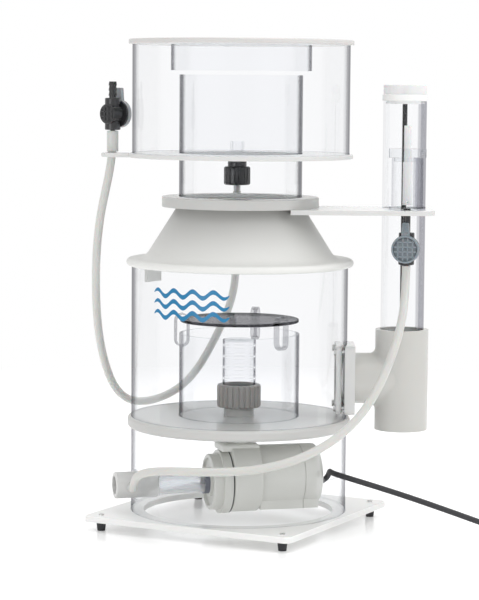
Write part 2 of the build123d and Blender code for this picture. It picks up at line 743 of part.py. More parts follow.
def lid_ring():
    return ring(LID_RING_R, LID_RING_R - 4.5, LID_RING_LOW, LID_BOTTOM)


def drain_stub():
    return ring(STUB_R, 7.2, NUT_LOW + 9.2, CUP_FLOOR_TOP + 14.0, DRAIN_X, DRAIN_Y)


def drain_nut():
    body = ribbed(19.0, NUT_LOW, NUT_LOW + 26.5, 18, 1.3)
    body += rod(13.5, NUT_LOW + 26.0, CUP_FLOOR_BOTTOM - RUN)
    body -= rod(STUB_R + RUN, NUT_LOW + 6.0, CUP_FLOOR_BOTTOM)
    body -= rod(5.3, NUT_LOW - 1, NUT_LOW + 7)
    return Pos(DRAIN_X, DRAIN_Y, 0) * body


def drain_nipple():
    nipple = rod(STUB_R - 0.1, NUT_LOW + 6.1, NUT_LOW + 9.0)
    nipple += rod(5.0, NUT_LOW - 8.5, NUT_LOW + 6.1)
    nipple += rod(BARB_R, NIPPLE_END, NUT_LOW - 8.5)
    nipple -= rod(2.5, NIPPLE_END - 1, NUT_LOW + 10)
    return Pos(DRAIN_X, DRAIN_Y, 0) * nipple


# ---- write every piece ---------------------------------------------------------------------------
def write_parts():
    os.makedirs("parts", exist_ok=True)
    plain = (
        base_plate, rubber_feet, foot_screws, lower_chamber, mid_plate, body_tube, reactor_cone,
        cone_key, neck_collar, collar_oring, support_arm, silencer_body, silencer_cap, silencer_stem,
        air_hose, drain_hose, hose_sleeve, power_cable, union_socket, union_nut, bubble_pipe,
        inner_cylinder, deflector_disc, disc_clips, outlet_inner_plate, outlet_outer_plate,
        outlet_gasket, outlet_screws, outlet_tee, riser_tube, riser_cap, level_knob, level_rod,
        level_gate, neck_tube, cup_floor, cup_wall, cup_lid, lid_ring, drain_stub, drain_nut,
        drain_nipple,
    )
    for make in plain:
        save(make.__name__, make())
    on_pump = (
        pump_volute, pump_oring, pump_front_cap, pump_motor_housing, pump_end_cap, impeller,
        rotor_magnet, pump_shaft, shaft_bush, intake_pipe, intake_seal, venturi_body,
    )
    for make in on_pump:
        save(make.__name__, PUMP * make())
    taps = (
        ("drain_tap", DRAIN_TAP, tap_body(40.0, TAP_DOWN, 3)),
        ("air_tap", AIR_TAP, tap_body(AIR_TAP_UP, TAP_DOWN, 0)),
    )
    for name, place, body in taps:
        save(f"{name}_body", place * body)
        save(f"{name}_plug", place * tap_plug())
        save(f"{name}_handle", place * tap_handle())


write_parts()
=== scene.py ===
import json
import math

import bpy
from mathutils import Matrix, Vector


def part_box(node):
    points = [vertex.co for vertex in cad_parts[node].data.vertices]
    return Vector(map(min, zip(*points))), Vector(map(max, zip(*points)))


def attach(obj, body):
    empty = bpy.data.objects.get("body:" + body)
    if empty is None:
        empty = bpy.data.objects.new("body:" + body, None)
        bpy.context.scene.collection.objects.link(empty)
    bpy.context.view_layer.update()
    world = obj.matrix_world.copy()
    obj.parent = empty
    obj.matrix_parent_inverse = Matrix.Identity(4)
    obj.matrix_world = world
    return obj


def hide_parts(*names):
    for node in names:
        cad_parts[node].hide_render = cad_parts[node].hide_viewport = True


# A protein skimmer in a white studio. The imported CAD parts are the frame: this script gives them
# their materials and adds the fine pieces that ride on them, the floor, the light and the camera.

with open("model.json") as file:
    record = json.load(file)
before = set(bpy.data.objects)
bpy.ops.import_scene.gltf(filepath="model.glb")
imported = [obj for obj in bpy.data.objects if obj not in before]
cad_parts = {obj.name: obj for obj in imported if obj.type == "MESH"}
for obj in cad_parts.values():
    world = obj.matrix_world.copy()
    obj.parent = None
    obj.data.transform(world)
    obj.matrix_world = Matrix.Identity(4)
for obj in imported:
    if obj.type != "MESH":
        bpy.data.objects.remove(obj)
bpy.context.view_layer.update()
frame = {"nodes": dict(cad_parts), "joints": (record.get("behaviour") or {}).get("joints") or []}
nodes = frame["nodes"]
MM = 0.001


def placed(name, data):
    """A new object of the data, in the scene."""
    made = bpy.data.objects.new(name, data)
    bpy.context.scene.collection.objects.link(made)
    return made


# ---- shader building ------------------------------------------------------------------------------
CLEAR = (0.988, 0.989, 0.992)         # what clear plastic lets through, face on
CLOUD = (0.9, 0.93, 0.96)             # its faint cloudy patches
LIGHT_PASS = (0.975, 0.98, 0.985)     # what it lets through for light, whatever the eye sees
GRAIN = 900.0                         # noise scale of a moulded surface's grain
WEAR = 0.06                           # how far a rubbed edge is lightened
# Painted shade: a fading part darkens towards its top, from and to these shares.
PAINTED_SHADE_START = 0.18                     # where a fading part starts to darken, as a share of its height
PAINTED_SHADE_DARK = 0.58                      # and how dark its top is


class Shader:
    """A material built one node at a time, or the world's shader where the world is given."""

    def __init__(self, name, world=None):
        self.owner = world or bpy.data.materials.new(name)
        self.owner.use_nodes = True
        self.tree = self.owner.node_tree
        self.tree.nodes.clear()
        self.out = self.add("ShaderNodeOutputWorld" if world else "ShaderNodeOutputMaterial")

    def add(self, kind, inputs=None, **settings):
        node = self.tree.nodes.new(kind)
        for key, value in settings.items():
            setattr(node, key, value)
        for key, value in (inputs or {}).items():
            self.put(node.inputs[key], value)
        return node

    def put(self, socket, value):
        if isinstance(value, bpy.types.NodeSocket):
            self.tree.links.new(value, socket)
        else:
            socket.default_value = value

    def math(self, operation, a, b=0.0, clamp=False):
        return self.add("ShaderNodeMath", {0: a, 1: b}, operation=operation, use_clamp=clamp).outputs[0]

    def ramp(self, factor, stops):
        node = self.add("ShaderNodeValToRGB", {"Fac": factor})
        elements = node.color_ramp.elements
        elements.remove(elements[1])
        elements[0].position = stops[0][0]
        elements[0].color = (*stops[0][1], 1.0)
        for place, colour in stops[1:]:
            elements.new(place).color = (*colour, 1.0)
        return node.outputs["Color"]

    def mix_colour(self, factor, a, b):
        node = self.add("ShaderNodeMix", data_type="RGBA")
        self.put(node.inputs[0], factor)
        self.put(node.inputs[6], a if isinstance(a, bpy.types.NodeSocket) else (*a, 1.0))
        self.put(node.inputs[7], b if isinstance(b, bpy.types.NodeSocket) else (*b, 1.0))
        return node.outputs[2]

    def mix_shader(self, factor, a, b):
        node = self.add("ShaderNodeMixShader", {0: factor})
        self.put(node.inputs[1], a)
        self.put(node.inputs[2], b)
        return node.outputs[0]

    def noise(self, scale, detail, stretch=(1.0, 1.0, 1.0)):
        place = self.add("ShaderNodeTexCoord").outputs["Object"]
        mapped = self.add("ShaderNodeMapping", {"Vector": place, "Scale": stretch}).outputs[0]
        made = self.add("ShaderNodeTexNoise", {"Vector": mapped, "Scale": scale, "Detail": detail,
                                                "Roughness": 0.55})
        return made.outputs["Fac"]

    def bump(self, height, distance, strength=0.5):
        node = self.add("ShaderNodeBump", {"Height": height, "Distance": distance, "Strength": strength})
        return node.outputs[0]

    def upright(self, vector):
        """The vector's height."""
        return self.add("ShaderNodeSeparateXYZ", {0: vector}).outputs["Z"]

    def level(self, limit):
        """1 on faces that look up or down, 0 on the others."""
        normal = self.add("ShaderNodeNewGeometry").outputs["Normal"]
        return self.math("GREATER_THAN", self.math("ABSOLUTE", self.upright(normal)), limit)

    def finish(self, surface):
        self.tree.links.new(surface, self.out.inputs["Surface"])
        return self.owner


def scaled(colour, share):
    return tuple(min(1.0, c * share) for c in colour)


def shaded_base(s, base, shade):
    """The base colour, multiplied by up to the shade share where nearby parts block the light."""
    if shade >= 1.0:
        return base
    open_share = s.add("ShaderNodeAmbientOcclusion", {"Distance": 160.0 * MM}, samples=6).outputs["AO"]
    dark = s.add("ShaderNodeMix", data_type="RGBA", blend_type="MULTIPLY")
    s.put(dark.inputs[0], 1.0)
    s.put(dark.inputs[6], base)
    s.put(dark.inputs[7], (shade, shade, shade * 0.99, 1.0))
    return s.mix_colour(s.math("POWER", open_share, 1.3), dark.outputs[2], base)


def plastic(name, colour, roughness, grain_depth=0.03, mottle=0.05, subsurface=0.0, shade=1.0, fade=None):
    """A moulded or machined plastic: faint mottling, fine grain, and edges rubbed a little lighter.

    With shade below 1 it also darkens by that share where nearby parts keep the light off. fade is a
    node's name: that part also gets painted shade, darkening steadily from its foot to its top.
    """
    s = Shader(name)
    broad = s.noise(9.0, 4.0)
    fine = s.noise(GRAIN, 2.0)
    base = s.mix_colour(broad, scaled(colour, 1.0 - mottle), scaled(colour, 1.0 + mottle))
    bevel = s.add("ShaderNodeBevel", {"Radius": 1.2 * MM}, samples=4).outputs[0]
    normal = s.add("ShaderNodeNewGeometry").outputs["Normal"]
    turned = s.add("ShaderNodeVectorMath", {0: bevel, 1: normal}, operation="DOT_PRODUCT").outputs["Value"]
    wear = s.math("MULTIPLY", s.math("SUBTRACT", 1.0, turned), 2.5, clamp=True)
    base = s.mix_colour(s.math("MULTIPLY", wear, WEAR), base, scaled(colour, 1.25))
    base = shaded_base(s, base, shade)
    # Painted shade: the part darkens steadily towards its top, where the parts above keep the light off.
    if fade:
        low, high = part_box(fade)
        height = s.upright(s.add("ShaderNodeTexCoord").outputs["Object"])
        start = low.z + PAINTED_SHADE_START * (high.z - low.z)
        share = s.add("ShaderNodeMapRange", {"Value": height, "From Min": start,
                                             "From Max": high.z}).outputs[0]
        base = s.mix_colour(share, base, scaled(colour, PAINTED_SHADE_DARK))
    rough = s.math("ADD", roughness - 0.05, s.math("MULTIPLY", broad, 0.1))
    shaded = s.add("ShaderNodeBsdfPrincipled", {
        "Base Color": base,
        "Roughness": rough,
        "Normal": s.bump(fine, grain_depth * MM),
        "Subsurface Weight": subsurface,
        "Subsurface Scale": 4.0 * MM,
    })
    return s.finish(shaded.outputs[0])


def sheet(name, colour, roughness, shade=1.0, rim=1.0):
    """Turned plastic sheet: fine tool rings on the flat and a saw-matt rim, darker by the rim share:
    painted shade on the sideways faces.
    """
    s = Shader(name)
    place = s.add("ShaderNodeTexCoord").outputs["Object"]
    rings = s.add("ShaderNodeTexWave", {"Vector": place, "Scale": 420.0, "Distortion": 0.6, "Detail": 1.0},
                  wave_type="RINGS", rings_direction="Z").outputs["Fac"]
    broad = s.noise(6.0, 4.0)
    base = s.mix_colour(broad, scaled(colour, 0.975), scaled(colour, 1.02))
    base = shaded_base(s, base, shade)
    flat = s.level(0.9)
    # Painted shade: the rim, which faces sideways, is darker than the flat by the rim share.
    base = s.mix_colour(flat, scaled(colour, rim), base)
    rough = s.math("SUBTRACT", roughness + 0.22, s.math("MULTIPLY", flat, 0.22))
    height = s.math("ADD", s.math("MULTIPLY", rings, s.math("MULTIPLY", flat, 0.25)),
                    s.math("MULTIPLY", s.noise(700.0, 2.0), 0.5))
    shaded = s.add("ShaderNodeBsdfPrincipled", {
        "Base Color": base,
        "Roughness": s.math("ADD", rough, s.math("MULTIPLY", broad, 0.06)),
        "Normal": s.bump(height, 0.02 * MM),
        "Subsurface Weight": 0.05,
        "Subsurface Scale": 3.0 * MM,
    })
    return s.finish(shaded.outputs[0])


def glazed(s, seen, wave, roughness, ior, gloss):
    """A see-through surface: the seen tint for the eye, an even one for light, and a wavy shine."""
    cloud = s.math("MULTIPLY", s.noise(14.0, 3.0), 0.02)
    seen = s.mix_colour(cloud, seen, CLOUD)
    camera = s.add("ShaderNodeLightPath").outputs["Is Camera Ray"]
    tint = s.mix_colour(camera, LIGHT_PASS, seen)
    through = s.add("ShaderNodeBsdfTransparent", {"Color": tint}).outputs[0]
    waves = s.bump(s.noise(5.0, 2.0, stretch=(1.0, 1.0, 0.25)), 0.5 * MM, wave)
    shine = s.add("ShaderNodeBsdfGlossy", {"Roughness": roughness, "Normal": waves}).outputs[0]
    fresnel = s.add("ShaderNodeFresnel", {"IOR": ior}).outputs[0]
    amount = s.math("MULTIPLY", s.math("MULTIPLY", fresnel, camera), gloss, clamp=True)
    return s.finish(s.mix_shader(amount, through, shine))


def acrylic(name, clear, edge_stops, end_tint, gloss=0.22, edge_tint=(0.42, 0.44, 0.48)):
    """Clear sheet or tube: it darkens where the eye looks along the wall, and its cut ends are pale."""
    s = Shader(name)
    weight = s.add("ShaderNodeLayerWeight", {"Blend": 0.5})
    stops = []
    for place, share in edge_stops:
        stops.append((place, tuple(c + (e - c) * share for c, e in zip(clear, edge_tint))))
    along = s.ramp(weight.outputs["Facing"], stops)
    seen = s.mix_colour(s.level(0.8), along, end_tint)
    return glazed(s, seen, 0.25, 0.04, 1.35, gloss)


def clear_tube(node, dark, left, right_shade_from):
    """Clear tube standing upright: where the eye looks along its wall, the wall is one dark band.

    left weakens the band on the left side: painted light. right_shade_from, below 1, starts a broad grey
    band there on the right side, as a share of the radius: painted shade.
    """
    low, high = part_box(node)
    axis = Vector(((low.x + high.x) / 2, (low.y + high.y) / 2))
    top = [v.co for v in nodes[node].data.vertices if v.co.z > (low.z + high.z) / 2]
    reach = [math.hypot(co.x - axis.x, co.y - axis.y) for co in top]
    bore_share = min(reach) / max(reach)
    s = Shader("clear_" + node)
    coords = s.add("ShaderNodeTexCoord")
    radial = s.add("ShaderNodeVectorMath", {0: coords.outputs["Object"], 1: (axis.x, axis.y, 0.0)},
                   operation="SUBTRACT").outputs["Vector"]
    radial = s.add("ShaderNodeVectorMath", {0: radial, 1: (1.0, 1.0, 0.0)},
                   operation="MULTIPLY").outputs["Vector"]
    outward = s.add("ShaderNodeVectorMath", {0: radial, 1: coords.outputs["Normal"]},
                    operation="DOT_PRODUCT").outputs["Value"]
    geometry = s.add("ShaderNodeNewGeometry")
    unflip = s.math("SUBTRACT", 1.0, s.math("MULTIPLY", geometry.outputs["Backfacing"], 2.0))
    outer = s.math("GREATER_THAN", s.math("MULTIPLY", outward, unflip), 0.0)
    seen_normal = s.add("ShaderNodeVectorTransform", {"Vector": geometry.outputs["Normal"]},
                        vector_type="NORMAL", convert_from="WORLD", convert_to="CAMERA").outputs[0]
    side = s.math("MULTIPLY", s.add("ShaderNodeSeparateXYZ", {0: seen_normal}).outputs["X"], unflip)
    wall = 1.0 - bore_share
    band = s.ramp(s.math("ABSOLUTE", side), (
        (bore_share - 0.25 * wall - 0.008, (0.0, 0.0, 0.0)),
        (bore_share, (0.40, 0.40, 0.40)),
        (bore_share + 0.4 * wall, (1.0, 1.0, 1.0)),
        (1.0, (0.7, 0.7, 0.7)),
    ))
    # Painted light and shade: the band is weaker on the left side, and a broad grey band darkens the right
    # side.
    on_left = s.math("LESS_THAN", side, 0.0)
    weak = s.math("SUBTRACT", 1.0, s.math("MULTIPLY", on_left, 1.0 - left))
    band = s.math("MULTIPLY", band, weak)
    if right_shade_from < 1.0:
        broad = s.add("ShaderNodeMapRange", {"Value": side, "From Min": right_shade_from,
                                             "From Max": right_shade_from + 0.07}).outputs[0]
        band = s.math("MAXIMUM", s.math("MULTIPLY", band, 0.7), broad)
    band = s.math("MULTIPLY", band, outer)
    seen = s.mix_colour(band, CLEAR, (dark, dark, dark * 1.04))
    seen = s.mix_colour(s.level(0.8), seen, (0.80, 0.81, 0.82))
    return glazed(s, seen, 0.15, 0.05, 1.3, 0.12)


def frosted(name, colour, clear_share, roughness=0.35):
    """Milky plastic that lets some of what is behind show through."""
    s = Shader(name)
    broad = s.noise(20.0, 3.0)
    base = s.mix_colour(broad, scaled(colour, 0.96), scaled(colour, 1.04))
    body = s.add("ShaderNodeBsdfPrincipled", {
        "Base Color": base,
        "Roughness": roughness,
        "Subsurface Weight": 0.2,
        "Subsurface Scale": 3.0 * MM,
        "Normal": s.bump(s.noise(600.0, 2.0), 0.02 * MM),
    }).outputs[0]
    facing = s.add("ShaderNodeLayerWeight", {"Blend": 0.5}).outputs["Facing"]
    through = s.add("ShaderNodeBsdfTransparent", {"Color": (0.94, 0.95, 0.96, 1.0)}).outputs[0]
    share = s.math("SUBTRACT", clear_share, s.math("MULTIPLY", facing, clear_share * 0.8), clamp=True)
    return s.finish(s.mix_shader(share, body, through))


def metal(name, colour, roughness):
    s = Shader(name)
    broad = s.noise(30.0, 3.0)
    shaded = s.add("ShaderNodeBsdfPrincipled", {
        "Base Color": s.mix_colour(broad, scaled(colour, 0.9), scaled(colour, 1.05)),
        "Metallic": 1.0,
        "Roughness": s.math("ADD", roughness, s.math("MULTIPLY", broad, 0.12)),
        "Normal": s.bump(s.noise(1500.0, 2.0, stretch=(1.0, 1.0, 0.1)), 0.01 * MM),
    })
    return s.finish(shaded.outputs[0])


# How far clear sheet takes its edge tint, by how much it is seen edge on.
TUBE_EDGE = ((0.0, 0.0), (0.70, 0.01), (0.78, 0.35), (0.86, 0.9), (1.0, 1.0))
MATERIALS = {
    "white_plate": sheet("white_plate", (0.84, 0.84, 0.83), 0.16),
    # Rim shares below 1 are painted shade on the plates' sideways faces.
    "rim_shaded_plate": sheet("rim_shaded_plate", (0.76, 0.76, 0.75), 0.16, rim=0.84),
    "shaded_plate": sheet("shaded_plate", (0.64, 0.64, 0.625), 0.2, 0.8, 0.82),
    "lid_plate": sheet("lid_plate", (0.72, 0.705, 0.69), 0.2, rim=0.85),
    # The cone's colour carries painted shade: darker near other parts and steadily darker towards its top.
    "white_cone": plastic("white_cone", (0.74, 0.74, 0.72), 0.40, mottle=0.02, shade=0.75,
                          fade="reactor_cone"),
    "clear_acrylic": acrylic("clear_acrylic", CLEAR, TUBE_EDGE, (0.88, 0.89, 0.90)),
    "clear_lid": acrylic("clear_lid", (0.95, 0.955, 0.96), TUBE_EDGE, (0.90, 0.88, 0.88)),
    "smoked_acrylic": acrylic("smoked_acrylic", (0.10, 0.10, 0.11), ((0.0, 0.0), (1.0, 0.6)),
                              (0.40, 0.395, 0.41), 0.35, (0.03, 0.03, 0.035)),
    "clip_acrylic": acrylic("clip_acrylic", (0.80, 0.80, 0.81), TUBE_EDGE, (0.7, 0.7, 0.71), 0.3,
                            (0.25, 0.25, 0.27)),
    # The white pipe's colour is set well below the white of its plastic: painted shade.
    "white_pipe": plastic("white_pipe", (0.54, 0.535, 0.51), 0.33, mottle=0.02, subsurface=0.05),
    "pipe_milky": frosted("pipe_milky", (0.97, 0.98, 0.99), 0.85),
    "milky": frosted("milky", (0.84, 0.84, 0.84), 0.25),
    "grey_plastic": plastic("grey_plastic", (0.76, 0.76, 0.72), 0.38, grain_depth=0.05, mottle=0.03),
    "venturi_grey": plastic("venturi_grey", (0.62, 0.62, 0.61), 0.36, mottle=0.03),
    "nut_grey": frosted("nut_grey", (0.36, 0.345, 0.325), 0.12, 0.42),
    "black_plastic": plastic("black_plastic", (0.022, 0.022, 0.024), 0.24, grain_depth=0.06, mottle=0.15),
    "tap_grey": frosted("tap_grey", (0.42, 0.44, 0.46), 0.25),
    "tap_blue": frosted("tap_blue", (0.24, 0.28, 0.31), 0.10),
    "tap_field": plastic("tap_field", (0.14, 0.165, 0.185), 0.45),
    "hose_white": frosted("hose_white", (0.64, 0.64, 0.615), 0.10),
    "black_rubber": plastic("black_rubber", (0.025, 0.025, 0.028), 0.6, grain_depth=0.1, mottle=0.2),
    "seal_blue": plastic("seal_blue", (0.19, 0.20, 0.24), 0.5, grain_depth=0.1),
    "steel": metal("steel", (0.62, 0.62, 0.61), 0.3),
    "black_rod": plastic("black_rod", (0.03, 0.03, 0.03), 0.45),
    "impeller_white": plastic("impeller_white", (0.82, 0.82, 0.80), 0.45),
    "magnet_black": plastic("magnet_black", (0.05, 0.05, 0.055), 0.3),
    "ceramic": plastic("ceramic", (0.85, 0.84, 0.80), 0.25),
    "mark_blue": plastic("mark_blue", (0.001, 0.17, 0.36), 0.3, grain_depth=0.01),
}

# The CAD nodes each material is for.
LOOKS = {
    "white_plate": "base_plate riser_cap",
    "rim_shaded_plate": "cup_floor support_arm outlet_outer_plate outlet_inner_plate",
    "shaded_plate": "mid_plate neck_collar",
    "lid_plate": "cup_lid",
    "white_cone": "reactor_cone cone_key",
    "clear_acrylic": "drain_stub",
    "clear_lid": "silencer_cap",
    "clip_acrylic": "disc_clips",
    "smoked_acrylic": "deflector_disc",
    "white_pipe": "outlet_tee union_socket level_gate",
    "milky": "silencer_stem level_knob drain_nipple",
    "pipe_milky": "intake_pipe",
    "grey_plastic": "pump_volute pump_motor_housing pump_end_cap pump_front_cap",
    "venturi_grey": "venturi_body",
    "nut_grey": "union_nut",
    "black_plastic": "drain_nut drain_tap_body air_tap_body",
    "tap_grey": "drain_tap_handle drain_tap_plug",
    "tap_blue": "air_tap_handle air_tap_plug",
    "hose_white": "air_hose drain_hose hose_sleeve collar_oring outlet_gasket",
    "black_rubber": "rubber_feet pump_oring power_cable",
    "seal_blue": "intake_seal",
    "steel": "foot_screws outlet_screws pump_shaft",
    "impeller_white": "impeller",
    "magnet_black": "rotor_magnet",
    "ceramic": "shaft_bush",
}

# Each clear tube: the light its edge bands let through, how strong the left one is (weaker on some:
# painted light), and where any broad band on the right starts (a painted shade).
TUBES = {
    "lower_chamber": (0.45, 1.0, 1.0),
    "body_tube": (0.42, 1.0, 1.0),
    "cup_wall": (0.44, 1.0, 1.0),
    "lid_ring": (0.45, 1.0, 1.0),
    "neck_tube": (0.40, 1.0, 1.0),
    "inner_cylinder": (0.42, 1.0, 1.0),
    "bubble_pipe": (0.50, 1.0, 1.0),
    "silencer_body": (0.70, 0.7, 0.40),
    "riser_tube": (0.64, 0.25, 0.64),
}


def dress(name, material):
    mesh = nodes[name].data
    mesh.materials.clear()
    mesh.materials.append(material)


def dress_nodes():
    for look, names in LOOKS.items():
        for name in names.split():
            dress(name, MATERIALS[look])
    for name, (dark, left, right_shade_from) in TUBES.items():
        dress(name, clear_tube(name, dark, left, right_shade_from))


# ---- mesh pieces ----------------------------------------------------------------------------------
def piece(name, points, faces, look, body, record_slot):
    """A mesh of the given look that rides on a body. record_slot is not used."""
    mesh = bpy.data.meshes.new(name)
    mesh.from_pydata([tuple(p) for p in points], [], faces)
    mesh.validate()
    mesh.materials.append(MATERIALS[look])
    for face in mesh.polygons:
        face.use_smooth = True
    made = placed(name, mesh)
    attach(made, body)
    return made


def joined(parts):
    """One point list and face list out of several."""
    points, faces = [], []
    for some_points, some_faces in parts:
        start = len(points)
        points.extend(some_points)
        faces.extend([tuple(start + i for i in face) for face in some_faces])
    return points, faces


def moved(part, place):
    points, faces = part
    return [place @ Vector(p) for p in points], faces


def lathe(profile, steps):
    """A closed profile of (radius, height) turned round the Z axis."""
    points, faces = [], []
    count = len(profile)
    for step in range(steps):
        angle = 2 * math.pi * step / steps
        for radius, height in profile:
            points.append((radius * math.cos(angle), radius * math.sin(angle), height))
    for step in range(steps):
        for row in range(count):
            after = (row + 1) % count
            a, b = step * count, ((step + 1) % steps) * count
            faces.append((a + row, b + row, b + after, a + after))
    return points, faces


def bead(radius, height, size):
    """A thin glue fillet: a small torus."""
    sides = 8
    profile = []
    for side in range(sides):
        angle = 2 * math.pi * side / sides
        profile.append((radius + size * math.cos(angle), height + size * math.sin(angle)))
    return lathe(profile, 128)


def block(width, depth, height):
    """A little bar with bevelled top edges, standing on z = 0."""
    w, d, b = width / 2, depth / 2, min(width, depth, height) * 0.22
    low = [(-w, -d, 0), (w, -d, 0), (w, d, 0), (-w, d, 0)]
    mid = [(x, y, height - b) for x, y, _ in low]
    top = [((abs(x) - b) * math.copysign(1, x), (abs(y) - b) * math.copysign(1, y), height)
           for x, y, _ in low]
    faces = [(3, 2, 1, 0), (8, 9, 10, 11)]
    for i in range(4):
        j = (i + 1) % 4
        faces.append((i, j, 4 + j, 4 + i))
        faces.append((4 + i, 4 + j, 8 + j, 8 + i))
    return low + mid + top, faces


def helix(core, crest, pitch, low, high):
    """A threaded rod with its axis on Z: a wound grid whose radius swings between core and crest."""
    sides = 14
    rows_per_turn = 4
    turns = (high - low) / pitch
    radii = (core, (core + crest) / 2, crest, (core + crest) / 2)
    points, faces = [], []
    rows = int(turns * rows_per_turn) + 1
    for row in range(rows):
        for side in range(sides):
            share = side / sides
            phase = (row - share * rows_per_turn) % rows_per_turn
            before = int(phase)
            after = (before + 1) % rows_per_turn
            radius = radii[before] + (radii[after] - radii[before]) * (phase - before)
            angle = 2 * math.pi * share
            height = low + (high - low) * row / (rows - 1)
            points.append((radius * math.cos(angle), radius * math.sin(angle), height))
    for row in range(rows - 1):
        for side in range(sides):
            a, b = row * sides, (row + 1) * sides
            after = (side + 1) % sides
            faces.append((a + side, a + after, b + after, b + side))
    faces.append(tuple(reversed(range(sides))))
    faces.append(tuple((rows - 1) * sides + i for i in range(sides)))
    return points, faces


# ---- fine pieces that ride on the frame -----------------------------------------------------------
THREAD_PITCH = 1.25 * MM
THREAD_CORE = 0.83                    # the thread's root, as a share of the rod's radius
BEAD_R = 0.7 * MM


def threaded_rod():
    """The level regulator's rod with its thread, in the place of the CAD's plain rod."""
    low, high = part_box("level_rod")
    centre = (low + high) / 2
    radius = (high.x - low.x) / 2
    part = helix(radius * THREAD_CORE, radius, THREAD_PITCH, low.z, high.z)
    part = moved(part, Matrix.Translation((centre.x, centre.y, 0)))
    made = piece("level_rod_thread", *part, "black_rod", "level_screw", "black_rod")
    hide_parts("level_rod")


def glue_beads():
    """Solvent beads where the tubes stand on their plates."""
    body_low, body_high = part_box("body_tube")
    lower_low, lower_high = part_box("lower_chamber")
    cup_low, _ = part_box("cup_wall")
    ring_r = body_high.x
    inner_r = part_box("inner_cylinder")[1].x
    on_skimmer = [
        bead(ring_r, body_low.z, BEAD_R),
        bead(ring_r, body_high.z, BEAD_R),
        bead(ring_r, lower_low.z, BEAD_R),
        bead(ring_r, lower_high.z, BEAD_R),
        bead(inner_r, body_low.z, BEAD_R),
    ]
    piece("glue_beads_body", *joined(on_skimmer), "clear_lid", "skimmer", "clear_acrylic")
    neck_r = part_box("neck_tube")[1].x
    floor_low, floor_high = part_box("cup_floor")
    on_cup = [
        bead(ring_r, cup_low.z, BEAD_R),
        bead(neck_r, floor_high.z, BEAD_R),
        bead(neck_r, floor_low.z, BEAD_R),
    ]
    piece("glue_beads_cup", *joined(on_cup), "clear_lid", "cup", "clear_acrylic")


MARK_DROP = 29 * MM                   # from the tube's top to the middle of the top wave
MARK_PITCH = 14.5 * MM                # from wave to wave
MARK_SWING = 4.2 * MM
MARK_HALF_W = 3.0 * MM                # half the stroke's width, besides MARK_TIP
MARK_TIP = 0.2 * MM
MARK_START = -140.0                   # degrees round the tube
MARK_SPAN = 45.0
MARK_CRESTS = 4
MARK_STEPS = 72
MARK_LIFT = 0.12 * MM                 # the print stands this far off the tube


def wave_strip(radius, middle):
    """One wavy stroke on the tube's surface, tapering at its ends."""
    points, faces = [], []
    for step in range(MARK_STEPS + 1):
        share = step / MARK_STEPS
        angle = math.radians(MARK_START + MARK_SPAN * share)
        swing = MARK_SWING * math.sin(share * MARK_CRESTS * 2 * math.pi)
        half = MARK_HALF_W * math.sqrt(max(0.0, 1 - (2 * share - 1) ** 6)) + MARK_TIP
        for side in (-1, 1):
            height = middle + swing + side * half
            points.append((radius * math.cos(angle), radius * math.sin(angle), height))
    for step in range(MARK_STEPS):
        a = 2 * step
        faces.append((a, a + 2, a + 3, a + 1))
    return points, faces


def water_mark():
    """Three blue waves printed on the body tube: a plain sign in the place of a maker's word."""
    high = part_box("body_tube")[1]
    parts = [wave_strip(high.x + MARK_LIFT, high.z - MARK_DROP - row * MARK_PITCH) for row in range(3)]
    piece("water_mark", *joined(parts), "mark_blue", "skimmer", "nut_grey")


def tap_frame(tap):
    """The tap's own axes, from its joint: X across, Y up, Z out through the handle."""
    joint = next(j for j in frame["joints"] if j["name"] == tap + "_turn")
    outward = Vector(joint["axis"]).normalized()
    centre = Vector(joint["pos_m"])
    up = Vector((0, 0, 1))
    across = outward.cross(up)
    turn = Matrix((across, up, outward)).transposed().to_4x4()
    return Matrix.Translation(centre) @ turn


RIB_OFFSETS = (-9.9, -3.3, 3.3, 9.9)  # mm from the knob's middle
RIB_W = 2.0 * MM
RIB_H = 1.0 * MM
RIB_END_GAP = 1.5 * MM
FIELD_R = 16.2 * MM                   # the knob's recessed face
FIELD_LOW = 17.3 * MM                 # and its height over the tap's middle
FIELD_T = 0.3 * MM
BACK_R = 12.2 * MM                    # the flat back of the tap's barrel
BACK_Z = -12.0 * MM
LEVER_FACE = 16.95 * MM               # the lever's front, over the tap's middle
LEVER_RIB = (6.6 * MM, 1.2 * MM, 0.8 * MM)
LEVER_RIB_FROM = 22.5 * MM
LEVER_RIB_PITCH = 2.3 * MM
LEVER_RIB_COUNT = 6


def knob_face(start, radius):
    """A crossed grid of ribs on a tap's round face, in the tap's own axes."""
    parts = []
    for offset in RIB_OFFSETS:
        length = 2 * math.sqrt(radius ** 2 - (offset * MM) ** 2) - RIB_END_GAP
        bar = block(RIB_W, length, RIB_H)
        parts.append(moved(bar, Matrix.Translation((offset * MM, 0, start))))
        turned = Matrix.Translation((0, offset * MM, start)) @ Matrix.Rotation(math.pi / 2, 4, "Z")
        parts.append(moved(bar, turned))
    return joined(parts)


def lever_ribs(start):
    """Grip ribs across the lever above the knob."""
    parts = []
    for row in range(LEVER_RIB_COUNT):
        height = LEVER_RIB_FROM + LEVER_RIB_PITCH * row
        parts.append(moved(block(*LEVER_RIB), Matrix.Translation((0, height, start))))
    return joined(parts)


